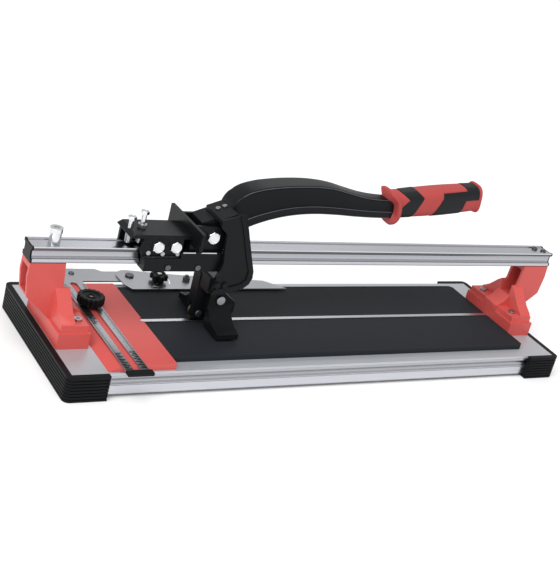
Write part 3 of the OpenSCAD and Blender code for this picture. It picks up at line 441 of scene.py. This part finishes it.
def hexagon_head(name, axis, place, base, top, across, slot, body, bore=0.0):
    """Head or nut from height base to top, with the cone cut at the top end."""
    up = 1 if top > base else -1
    half, cut = across / 2, across * 0.075
    full = half / math.cos(math.pi / 6) + 0.1
    rows = [(half * 0.94, base), (full, base + 0.15 * up), (full, top - cut * up),
            (half * 1.09, top - cut * 0.75 * up), (half * 1.02, top - cut * 0.42 * up), (half * 0.95, top)]
    if bore:
        rows += [(bore + 0.5, top), (bore, top - 0.5 * up), (bore, base + 0.5 * up), (bore + 0.5, base)]
    else:
        rows += [(half * 0.80, top), (half * 0.76, top - 0.22 * up), (0.001, top - 0.25 * up)]
    return turned(name, rows, axis, place, slot, body, 72, bool(bore), across)


def shank(name, axis, place, base, top, diameter, slot, body):
    """Plain rod with a small chamfer at both ends."""
    r, c = diameter / 2, min(0.6, diameter * 0.08)
    way = 1 if top > base else -1
    return turned(name, [(r - c, base), (r, base + c * way), (r, top - c * way), (r - c, top)],
                  axis, place, slot, body, 40)


def edges_of(node):
    """The CAD node's lowest and highest corner in millimetres, as two arrays."""
    low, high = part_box(node)
    return np.array(low) / MM, np.array(high) / MM


# %% Pivot bolt, bearing bolts and their nuts
PIVOT = np.array((-166.0, 0.0, 157.0))
CHEEK = 21.0
INNER_CHEEK, BEARING_SIDE = 17, 3.3
parts = [hexagon_head("head", "y", PIVOT, -CHEEK, -CHEEK - 6.5, 14, "chrome", "carriage"),
         shank("rod", "y", PIVOT, -CHEEK - 0.5, CHEEK + 9, 10, "chrome", "carriage")]
joined("pivot_bolt_turned", parts, ["pivot_bolt"])
hexagon_head("pivot_nut_turned", "y", PIVOT, CHEEK, CHEEK + 8, 16, "zinc_steel", "carriage", 5.15)
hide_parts("pivot_nut")

parts, nuts = [], []
for roller in ("top_roller_left", "top_roller_right"):
    low, high = edges_of(roller)
    centre = (low + high) / 2 * (1, 0, 1)
    parts += [hexagon_head("head", "y", centre, -CHEEK, -CHEEK - 5.3, 13, "chrome", "carriage"),
              shank("rod", "y", centre, -CHEEK - 0.5, CHEEK + 6, 6, "chrome", "carriage"),
              shank("spacer", "y", centre, -INNER_CHEEK, -BEARING_SIDE, 10, "chrome", "carriage"),
              shank("spacer", "y", centre, BEARING_SIDE, INNER_CHEEK, 10, "chrome", "carriage")]
    nuts.append(hexagon_head("nut", "y", centre, CHEEK, CHEEK + 5, 10, "zinc_steel", "carriage", 3.15))
joined("bearing_bolts_turned", parts, ["bearing_bolts"])
joined("bearing_nuts_turned", nuts, ["bearing_nuts"])

# %% Adjusting bolts on the carriage bridge
BOLT_FOOT = 138.0
parts = []
for x, head in ((-259.0, 166.4), (-245.0, 173.4)):
    parts += [hexagon_head("head", "z", (x, 0, 0), head, head + 4, 9, "chrome", "carriage"),
              shank("rod", "z", (x, 0, 0), BOLT_FOOT, head + 0.4, 6, "chrome", "carriage")]
joined("adjusting_bolts_turned", parts, ["adjusting_bolts"])


# %% Ball bearings that run on the rail
def bearing(node, axis, body):
    """Two rings with a sunk shield between them, as one closed ring surface."""
    low, high = edges_of(node)
    span = 1 if axis == "y" else 2
    width = (high - low)[span] / 2
    outer, bore = (high - low)[0] / 2, 3.1 if axis == "y" else 2.6
    inner_ring, outer_ring = bore + 1.5, outer - 1.3
    face = [(bore, width - 0.3), (bore + 0.3, width), (inner_ring, width), (inner_ring, width - 0.35),
            (outer_ring, width - 0.35), (outer_ring, width), (outer - 0.4, width), (outer, width - 0.4)]
    rows = [(r, -h) for r, h in face] + [(r, h) for r, h in face[::-1]]
    piece = turned(node + "_turned", rows, axis, (low + high) / 2, "chrome", body, 64, loop=True)
    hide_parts(node)


for node in sorted(n for n in frame["nodes"] if "roller_" in n and n != "roller_pins"):
    bearing(node, "y" if node.startswith("top") else "z", BODY[node])
low, high = edges_of("scoring_wheel")
rim = (high - low)[0] / 2
rows = [(2.55, -1.5), (5, -1.5), (5.2, -1.35), (rim - 2.6, -1.35), (rim - 0.05, -0.04),
        (rim, 0), (rim - 0.05, 0.04), (rim - 2.6, 1.35), (5.2, 1.35), (5, 1.5), (2.55, 1.5)]
wheel = turned("scoring_wheel_turned", rows, "y", (low + high) / 2, "carbide", "wheel", 96, loop=True)
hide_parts("scoring_wheel")
print("bearings and bolts done")


# %% [markdown]
# ## Knobs
# The clamp knob is a moulded disc with sixteen shallow flutes; the lock knob below the
# carriage has six deep lobes. Both are a turned profile whose radius is pulled in by a
# smooth wave round the rim, and the wave fades towards the middle of the top face.

# %% A fluted knob
def knob(node, waves, depth, sharp):
    """Radius = profile - depth * ((1 + cos(waves * angle)) / 2) ** sharp * weight of the row.

    Each row is (radius, height, weight), from the bottom up round the rim to the sunk middle."""
    low, high = edges_of(node)
    x, y = ((low + high) / 2)[:2]
    r, z, height = (high - low)[0] / 2, low[2], (high - low)[2]
    rows = np.array([(3.05, 0, 0), (r * 0.58, 0, 0), (r * 0.62, 0.4, 0), (r * 0.62, height * 0.24, 0),
                     (r - 1.3, height * 0.26, 1), (r - 0.3, height * 0.31, 1), (r, height * 0.40, 1),
                     (r, height * 0.80, 1), (r - 0.3, height * 0.91, 1), (r - 1.2, height, 1),
                     (r * 0.78, height + 0.001, 0.4), (r * 0.66, height - 0.1, 0),
                     (r * 0.62, height - 1.4, 0), (r * 0.40, height - 1.9, 0), (r * 0.34, height - 1.1, 0),
                     (3.4, height - 0.9, 0), (3.05, height - 1.3, 0)])
    per_wave = 16 if waves > 10 else 32
    turn = np.linspace(0, 2 * np.pi, per_wave * waves, endpoint=False)[None, :]
    wave = ((1 + np.cos(waves * turn)) / 2) ** sharp
    radius = rows[:, :1] - depth * wave * rows[:, 2:]
    points = along("z", (x, y, z), radius, turn, rows[:, 1:2])
    return surface(node + "_moulded", points, "black_plastic", BODY[node], [node], loop=True, crease=38)


knob("clamp_knob", 16, 1.5, 3)
knob("fence_knob", 6, 3.4, 2)

# %% [markdown]
# ## Rubber pads
# Each pad is a mat with fine ribs from front to back, so that a tile doesn't slip. The
# ribs could be a bump, but they also break the line of the pad's edge. So the top is a
# real wave along X, carried from front to back, with the two outer corners cut off.

# %% Ribbed mats
RIB_PITCH, RIB_DEPTH, POINTS_PER_RIB = 2.0, 0.30, 8
PAD_INNER, CUT_FROM, CUT_SIZE, NEAR_CUT = 3.6, 77, 5, 2


def mat(node, side):
    """Rows run front to back; the columns follow the mat's section along X.

    Height = top - depth * (0.5 + 0.5 cos(2 pi x / pitch)) ** 2 on the upper side. `reach` is
    the distance from the pad's inner edge and `sink` rounds both ends. The right end of each
    row moves in by the size of the cut corner."""
    low, high = edges_of(node)
    count = int((high[0] - low[0]) / RIB_PITCH * POINTS_PER_RIB)
    x = np.linspace(low[0], high[0], count)
    top = high[2] - RIB_DEPTH * (0.5 + 0.5 * np.cos(2 * np.pi * x / RIB_PITCH)) ** 2
    section = np.vstack([np.stack([x, top], -1), [(high[0], low[2]), (low[0], low[2])]])
    reach = np.array([0, 0.6, NEAR_CUT, 40, CUT_FROM, 78.5, 80, 81.4, CUT_FROM + CUT_SIZE])
    sink = np.array([0.5, 0.05, 0, 0, 0, 0, 0, 0.05, 0.5])
    cut = np.clip(reach - CUT_FROM, 0, CUT_SIZE) + np.clip(NEAR_CUT - reach, 0, NEAR_CUT)
    scale = (high[0] - cut - low[0]) / (high[0] - low[0])
    px = low[0] + (section[None, :, 0] - low[0]) * scale[:, None]
    pz = np.where(section[None, :, 1] > low[2] + 1, section[None, :, 1] - sink[:, None], low[2])
    py = side * (PAD_INNER + reach)[:, None] + 0 * px
    return surface(node + "_ribbed", np.stack([px, py, pz], -1), "pad_rubber", "base", [node],
                   ends="flat", crease=50)


mat("front_pad", -1)
mat("rear_pad", 1)
print("mats done")

# %% [markdown]
# ## Lever arm
# The arm is pressed from sheet: a channel that is open below, with a tight radius along
# its two upper edges and a turned-out lip along its two lower ones. It arches up from the
# root and narrows towards the grip. It could be a curve with a bevel profile, but the
# channel changes in height and width, so it is a loft between two smooth curves.

# %% Loft between an upper and a lower curve
def smooth_through(points, x):
    """Smooth curve through a few points (x, z), as rows of (x, z) for each x asked for.

    Between two points a distance h apart, with k going from 0 to 1 and slopes m and n:
    z = (1 + 2k)(1 - k)^2 z0 + k (1 - k)^2 h m + k^2 (3 - 2k) z1 - k^2 (1 - k) h n."""
    px, pz = np.array(points, float).T
    slope = np.gradient(pz, px)
    i = np.clip(np.searchsorted(px, x, side="right") - 1, 0, len(px) - 2)
    h = px[i + 1] - px[i]
    k = (x - px[i]) / h
    z = (1 + 2 * k) * (1 - k) ** 2 * pz[i] + k * (1 - k) ** 2 * h * slope[i] \
        + k ** 2 * (3 - 2 * k) * pz[i + 1] - k ** 2 * (1 - k) * h * slope[i + 1]
    return np.stack([x, z], -1)


UPPER_START, LOWER_START, ARM_END, TAIL = 27.5, 28, 248.5, 8
t = np.linspace(0, 1, 72) ** 1.15
upper = smooth_through([(UPPER_START, 43.5), (38, 51), (54, 56.8), (78, 61), (105, 63.3), (132, 63.8),
                        (158, 61.4), (182, 56.2), (205, 51.5), (226, 49.2), (ARM_END, 48.5)],
                       UPPER_START + (ARM_END - UPPER_START) * t)
lower = smooth_through([(LOWER_START, 1.5), (44, 9.5), (62, 17), (84, 23.6), (108, 28), (136, 29.6),
                        (166, 28.6), (196, 26.2), (222, 25), (ARM_END, 24.5)],
                       LOWER_START + (ARM_END - LOWER_START) * t)

# The nose closes the channel in three short steps, and a tail runs on inside the grip.
upper = np.vstack([[(21.5, 29.5), (22.2, 34.0), (24.2, 38.8)], upper, [(ARM_END + TAIL, 46.5)]])
lower = np.vstack([[(22.8, 0.2), (24.0, 0.6), (25.8, 1.2)], lower, [(ARM_END + TAIL, 24.0)]])
half = np.interp(lower[:, 0], [20, 110, ARM_END], [15.0, 15.0, 9.5])
CORNER_POINTS, WALL, RADIUS = 7, 2.4, 3.4
corner = np.linspace(0, np.pi / 2, CORNER_POINTS)
lip_high = np.interp(lower[:, 0], [20, 70, ARM_END], [12.5, 10.5, 8.5])
lip_out = np.interp(lower[:, 0], [160, 200], [2.2, 0.7])


def arm_section(half, tall, lip, out):
    """Closed section of one station as (sideways, up), from half the width and the height.

    The lip is `lip` high and stands out by `out`. The right outer side comes first: lip, wall
    and rounded edge. It is mirrored for the left, and the inside closes the section."""
    near = half + out * 0.8
    side = [(near, 0), (half + out, 0.5), (near, 2.2), (near, lip - 2.4),
            (half + out, lip - 1.2), (near, lip - 0.5), (half + 0.25, lip), (half, lip + 0.5)]
    edge = np.stack([half - RADIUS + RADIUS * np.cos(corner), tall - RADIUS + RADIUS * np.sin(corner)], -1)
    right = np.vstack([side, edge])
    inside = np.array([(half - WALL, 0), (half - WALL, tall - WALL - 1), (half - WALL - 1, tall - WALL)])
    return np.vstack([right, right[::-1] * (-1, 1), inside * (-1, 1), inside[::-1]])


tall = np.linalg.norm(upper - lower, axis=1)
sections = np.array([arm_section(*station) for station in zip(half, tall, lip_high, lip_out)])
rise = (upper - lower) / tall[:, None]
arm = np.empty(sections.shape[:2] + (3,))
arm[..., 0] = PIVOT[0] + lower[:, None, 0] + rise[:, None, 0] * sections[..., 1]
arm[..., 1] = sections[..., 0]
arm[..., 2] = PIVOT[2] + lower[:, None, 1] + rise[:, None, 1] * sections[..., 1]
surface("lever_arm_pressed", arm, "black_metal", "lever", ["lever_arm"], ends="flat", crease=40)
print("arm:", arm.shape[:2], "points, height", tall.round(1)[[3, 40, -2]])


# %% Painted highlights along the arm's edges
def wire(path, radius):
    """Round wire along a path: path + radius * (cos a across, sin a up) for each angle a."""
    turn = np.linspace(0, 2 * np.pi, 8, endpoint=False)
    across, up = np.array((0, 1, 0)), np.array((0, 0, 1))
    ring = np.cos(turn)[:, None] * across + np.sin(turn)[:, None] * up
    return surface("edge", path[:, None] + radius * ring[None], "black_metal", "lever")


# Columns of the right side's crease and lip; `mirror` less a column is its twin on the left.
CREASE, LIP_TOP, LIP_FOOT, FIRST_ROW = 11, 5, 1, 6
mirror = sections.shape[1] - CORNER_POINTS
columns = ((CREASE, 0.42), (LIP_TOP, 0.45), (LIP_FOOT, 0.35))
wires = [wire(arm[FIRST_ROW:, column], radius) for column, radius in columns]
wires += [wire(arm[FIRST_ROW:, mirror - column], radius) for column, radius in columns]
# The wires take a lighter enamel: a painted highlight along the crease and the lip on both sides.
painted_highlight_lines = joined("arm_painted_highlights", wires)
painted_highlight_lines.data.materials[0] = finish("painted_edge_highlight", (0.16, 0.165, 0.18), 0.34, 0.8, (90, 300, 300),
                                     0.1, 0.5, 0.3)
print("edge lines:", len(wires))

# %% [markdown]
# ## Grip
# The grip is a red sleeve with a guard that leans forward over the arm at the top, and a
# black soft inlay in the shape of an arrow and a long panel. The inlay could be painted,
# but a moulded one stands a little proud. So the sleeve and the inlay are two surfaces
# over the same form: the inlay lies above the sleeve inside its outline and dips below it
# outside, and the outline is where they cross.

# %% The form of the grip
GRIP = np.array((85.0, 0.0, 196.9))
TILT = math.radians(6.3)
LONG, TALL, WIDE, SQUARISH = 134.0, 16.8, 14.4, 0.62
FRONT_ROUND, REAR_ROUND = 2.5, 3.5
ahead = np.array((math.cos(TILT), 0, math.sin(TILT)))
upward = np.array((-math.sin(TILT), 0, math.cos(TILT)))

share = np.linspace(0, 1, 290)[:, None]
turn = np.linspace(0, 2 * np.pi, 144, endpoint=False)[None, :]


def power(value, exponent):
    """Sign of the value times its size to a power, for a squarish oval."""
    return np.sign(value) * np.abs(value) ** exponent


def between(value, low, high):
    """0 below low, 1 above high and a smooth step 3 k^2 - 2 k^3 from one to the other."""
    k = np.clip((value - low) / (high - low), 0, 1)
    return k * k * (3 - 2 * k)


def quarter_round(depth, radius):
    """Share of the full size at a depth from an end that is rounded by a quarter circle:
    the square root of 1 - (1 - depth / radius) ^ 2, and 1 beyond the radius."""
    return np.sqrt(np.clip(1 - np.clip(depth / radius - 1, -1, 0) ** 2, 0, 1))


# Where the sleeve starts, the distance s along the grip, the guard and the rim at the end.
lean = -10.5 * between(np.sin(turn), -0.1, 0.9) - 3.5 * between(-np.sin(turn), 0.3, 0.9)
start = 0.5 + lean
s = start + share * (LONG - start)
thick = 6.2 - 0.4 * np.sin(turn)
flare = 1 - between((s - lean * (1 - between(s, 0, 20)) - thick) / 5, 0, 1)
rim = between(s, 126, 130)
round_off = quarter_round(s - start, FRONT_ROUND) * quarter_round(LONG - s, REAR_ROUND)
palm = 1.1 * np.sin(np.pi * np.clip((s - 16) / 108, 0, 1))
tall_half = TALL + palm + (6.6 - 2.4 * np.sin(turn)) * flare + 2.2 * rim
wide_half = WIDE + palm + 4.0 * flare + 2.0 * rim
side_on = power(np.cos(turn), SQUARISH)
up_on = power(np.sin(turn), SQUARISH)
zz = tall_half * up_on

# %% The outline of the black inlay
# Each area is positive inside and negative outside, like a distance to its outline. The
# edges lean, so their place along the grip depends on the height zz.
PANEL_END, PATCH_TOP = 128, 0.7
first_edge = np.interp(zz, [-18, -3, 9, 17], [5, 5, 20.5, 10.7])
second_edge = np.interp(zz, [-18, 10, 17], [26, 42, 35])
third_edge = np.interp(zz, [-18, 8], [57, 71])
patch = np.minimum(s - np.interp(zz, [-16, PATCH_TOP], [103, 107.7]), PATCH_TOP - zz)
band = np.minimum(s - first_edge, second_edge - s)
panel = np.minimum(np.minimum(s - third_edge, PANEL_END - s), np.minimum(14.5 - zz, -patch))
end_panel = np.minimum(np.minimum(s - 108.5, PANEL_END - s), zz - 13.5)
inlay = np.minimum(np.maximum(band, np.maximum(panel, end_panel)), 8 * (0.4 - flare))


def grip_surface(name, lift, slot, nodes):
    """The oval of the grip with each point lifted along its own direction by `lift`."""
    sideways = (wide_half + lift) * side_on * round_off
    height = (tall_half + lift) * up_on * round_off
    points = GRIP + s[..., None] * ahead + height[..., None] * upward
    points[..., 1] += sideways
    return surface(name, points, slot, "lever", nodes, crease=60)


sleeve_lift = -0.45 * np.exp(-(inlay / 0.7) ** 2) - 0.25 * between(inlay, 0, 1)
inlay_lift = -1.3 + 1.75 * between(inlay, -0.6, 0.9)
grip_surface("grip_sleeve_moulded", sleeve_lift, "grip_red", ["grip_sleeve"])
grip_surface("grip_inlay_moulded", inlay_lift, "grip_black", ["grip_inserts"])
print("grip:", s.shape, "points on each surface")

# %% [markdown]
# ## Scale marks on the ruler
# The ruler of the side stop has printed marks along both sides of its slot. Printed ink
# has almost no thickness, so each mark is a thin block that stands a few hundredths of a
# millimetre above the sheet: every millimetre, longer at five and longest at ten.

# %% Printed marks
def marks(name, x0, y, long, wide, z):
    """Blocks from x0 over `long`, centred on each y; all corners from one broadcast sum."""
    corner = np.array([(i, j, k) for i in (0, 1) for j in (-0.5, 0.5) for k in (0, 1)], float)
    size = np.stack([long, np.full_like(long, wide), np.full_like(long, INK)], -1)
    base = np.stack([np.full_like(y, x0), y, np.full_like(y, z)], -1)
    points = (base[:, None] + corner[None] * size[:, None]).reshape(-1, 3)
    sides = np.array([(0, 1, 3, 2), (4, 6, 7, 5), (0, 4, 5, 1), (2, 3, 7, 6), (0, 2, 6, 4), (1, 5, 7, 3)])
    faces = (np.arange(len(y))[:, None, None] * 8 + sides[None]).reshape(-1, 4)
    dress(placed(name, closed_mesh(name, points, faces.tolist(), 0)), "black_plastic", "side_stop")


INK, FINE, FINE_Z, BROAD, BROAD_Z = 0.06, 0.32, 40.28, 2.1, 40.29
step = np.arange(0, 200)
y_marks = -113.0 + step
length = np.where(step % 10 == 0, 6.0, np.where(step % 5 == 0, 4.2, 2.6))
marks("ruler_marks_left", -286.2, y_marks, length, FINE, FINE_Z)
marks("ruler_marks_right", -259.8, y_marks, -length, FINE, FINE_Z)

# Broad bars stand where the ruler has its figures: near the front end and near the rail.
bold = np.concatenate([np.arange(-112, -76, 3.4), np.arange(-10, 12, 3.4)])
long = np.where(np.arange(len(bold)) % 2 == 0, 7.4, 4.8)
marks("ruler_figures_left", -285.6, bold, long, BROAD, BROAD_Z)
front = bold < -50
marks("ruler_figures_right", -260.4, bold[front] + 1.7, -long[front], BROAD, BROAD_Z)

# %% [markdown]
# ## Painted edge highlights
# The black castings of the carriage catch light along three of their edges. These painted
# highlights are bright aluminium strips: a painted line would need its own texture map, so
# each is a thin three-sided strip that caps the edge.

# %% Painted highlights along three edges
PROUD = 0.12


def highlight_strip(name, x0, x1, y, z, wide, up):
    """Three-sided strip from x0 to x1 on the edge at (y, z); up is 1 for a top edge, -1 for a low one."""
    x = np.array([x0, x1])[:, None]
    side = np.array([(-PROUD, PROUD * up), (wide, PROUD * up), (-PROUD, -wide * up)])[None]
    points = np.stack([x + 0 * side[..., 0], y + side[..., 0] + 0 * x, z + side[..., 1] + 0 * x], -1)
    return surface(name, points, "aluminium", "carriage", ends="flat", crease=20)


# Painted highlights: bright strips on the top edges of the front guide block and on the low edge of the
# front plate.
highlight_strip("block_edge_left", -200.5, -184.5, -26.0, 138.5, 1.1, 1)
highlight_strip("block_edge_right", -178.0, -157.5, -26.0, 138.5, 1.1, 1)
highlight_strip("plate_edge", -245.5, -201.5, -21.0, 130.5, 0.8, -1)

# %% [markdown]
# ## Fork walls
# Light would pass between the fork's cheeks and the bracket. Short walls that carry the two
# cheeks on to the right close the gap. They could be longer cheeks in the CAD, but the
# cheeks carry the pivot and keep their plain outline.

# %% Two short walls
wall_x = np.array([-153.0, -147.5, -147.5, -153.0])
wall_z = np.array([130.0, 130.0, 158.0, 160.0])
for name, y_from, y_to in (("fork_wall_left", -20.8, -17.2), ("fork_wall_right", 17.2, 20.8)):
    rows = [np.stack([wall_x, 0 * wall_x + y, wall_z], -1) for y in (y_from, y_to)]
    surface(name, np.stack(rows), "black_metal", "carriage", ends="flat")

# %% Sizes, and the end
low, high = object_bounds()
